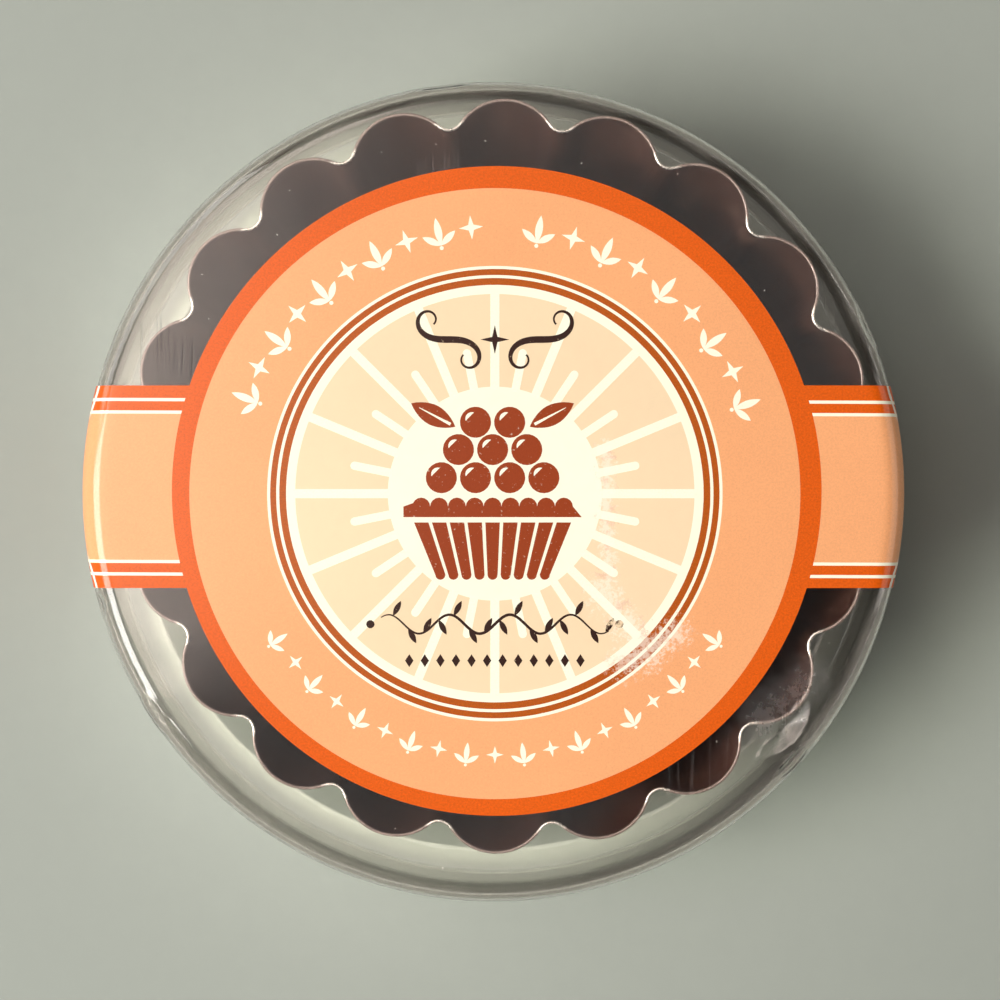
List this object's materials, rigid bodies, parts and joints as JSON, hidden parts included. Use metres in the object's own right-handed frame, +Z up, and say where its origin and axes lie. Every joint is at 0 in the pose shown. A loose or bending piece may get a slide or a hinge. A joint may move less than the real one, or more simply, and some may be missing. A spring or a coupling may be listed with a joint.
{
  "type": "boxed tartlet pan set",
  "caption": "Nested round fluted tartlet pans with a dark nonstick coat, in a clear plastic box with a lift-off lid and a printed paper label.",
  "frame": {"origin": "centre of the tub's foot, on the surface that it stands on", "axes": "+Z up through the box and the pans, +X along the label's band from tab to tab, +Y across it"},
  "size_m": [0.1092, 0.1088, 0.0334],
  "materials": {
    "clear_plastic": "clear, glossy, lightly scratched",
    "nonstick_steel": "dark satin nonstick coat on pressed steel sheet",
    "label_paper": "semi-gloss printed paper"
  },
  "bodies": {
    "tub": {"tub": "clear_plastic"},
    "pan_1": {"tartlet_pan_1": "nonstick_steel"},
    "pan_2": {"tartlet_pan_2": "nonstick_steel"},
    "pan_3": {"tartlet_pan_3": "nonstick_steel"},
    "pan_4": {"tartlet_pan_4": "nonstick_steel"},
    "pan_5": {"tartlet_pan_5": "nonstick_steel"},
    "pan_6": {"tartlet_pan_6": "nonstick_steel"},
    "lid": {"lid": "clear_plastic", "label": "label_paper"}
  },
  "joints": [
    {"name": "pan_1_lift", "type": "slide", "parent": "tub", "child": "pan_1", "axis": [0, 0, 1], "range_m": [0, 0.04]},
    {"name": "pan_2_lift", "type": "slide", "parent": "pan_1", "child": "pan_2", "axis": [0, 0, 1], "range_m": [0, 0.025]},
    {"name": "pan_3_lift", "type": "slide", "parent": "pan_2", "child": "pan_3", "axis": [0, 0, 1], "range_m": [0, 0.025]},
    {"name": "pan_4_lift", "type": "slide", "parent": "pan_3", "child": "pan_4", "axis": [0, 0, 1], "range_m": [0, 0.025]},
    {"name": "pan_5_lift", "type": "slide", "parent": "pan_4", "child": "pan_5", "axis": [0, 0, 1], "range_m": [0, 0.025]},
    {"name": "pan_6_lift", "type": "slide", "parent": "pan_5", "child": "pan_6", "axis": [0, 0, 1], "range_m": [0, 0.025]},
    {"name": "lid_lift", "type": "slide", "parent": "pan_6", "child": "lid", "axis": [0, 0, 1], "range_m": [0, 0.045]}
  ]
}
